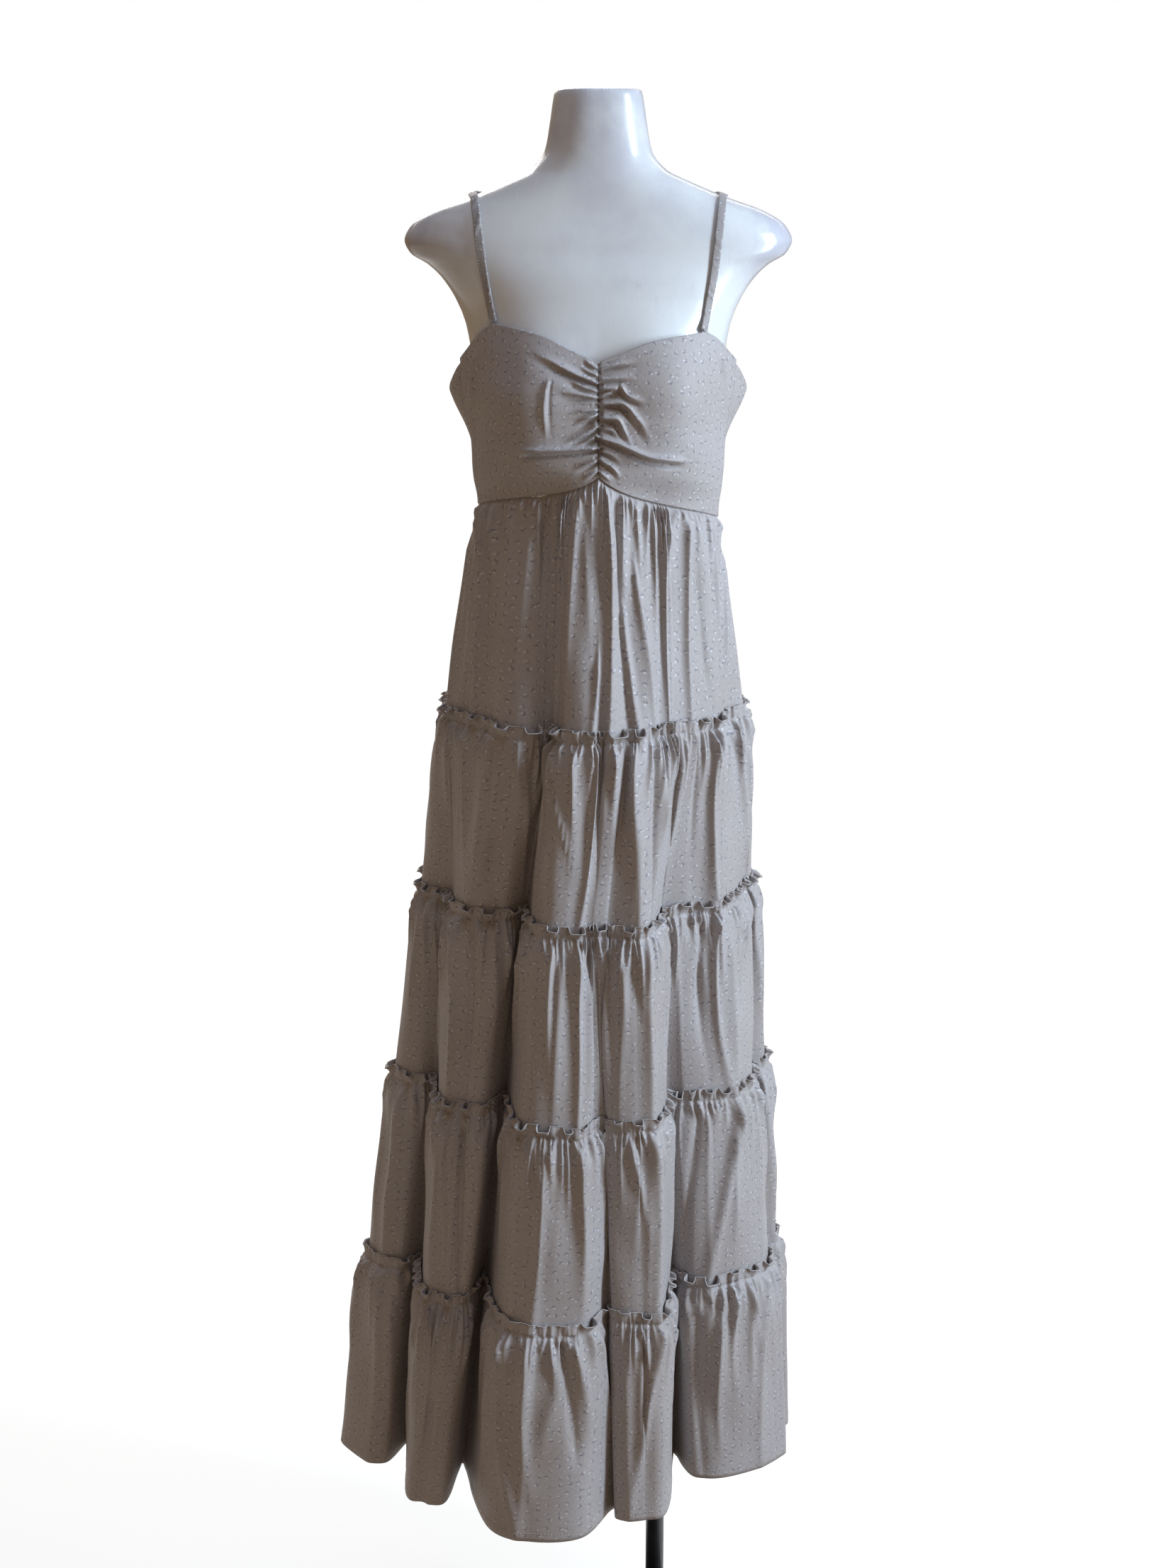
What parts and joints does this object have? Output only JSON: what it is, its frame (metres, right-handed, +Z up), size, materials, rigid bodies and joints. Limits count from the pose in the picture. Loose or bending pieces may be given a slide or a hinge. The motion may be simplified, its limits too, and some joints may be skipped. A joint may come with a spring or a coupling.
{
  "type": "tiered maxi dress on a limbless dress form",
  "caption": "Sleeveless tiered maxi dress with thin straps and a ruched bodice, worn by a smooth limbless dress form on a pole stand.",
  "frame": {"origin": "centre of the stand's round foot, on its flat underside", "axes": "+Z up, -Y out of the dress's front, +X to the right of a viewer who faces the front"},
  "size_m": [0.5412, 0.42, 1.833],
  "materials": {
    "bodice_cloth": "matte crepe with a small scattered print",
    "skirt_cloth": "matte crepe with a small scattered print",
    "strap_cloth": "matte crepe",
    "form_gloss": "glossy white, lightly scuffed",
    "stand_black": "satin black"
  },
  "bodies": {
    "root": {"bodice_front_left": "bodice_cloth", "bodice_front_right": "bodice_cloth", "bodice_back": "bodice_cloth", "strap_left": "strap_cloth", "strap_right": "strap_cloth", "skirt_tier_1": "skirt_cloth", "skirt_tier_2": "skirt_cloth", "skirt_tier_3": "skirt_cloth", "skirt_tier_4": "skirt_cloth", "skirt_tier_5": "skirt_cloth", "dress_form": "form_gloss", "stand_pole": "stand_black", "stand_base": "stand_black"}
  },
  "joints": []
}
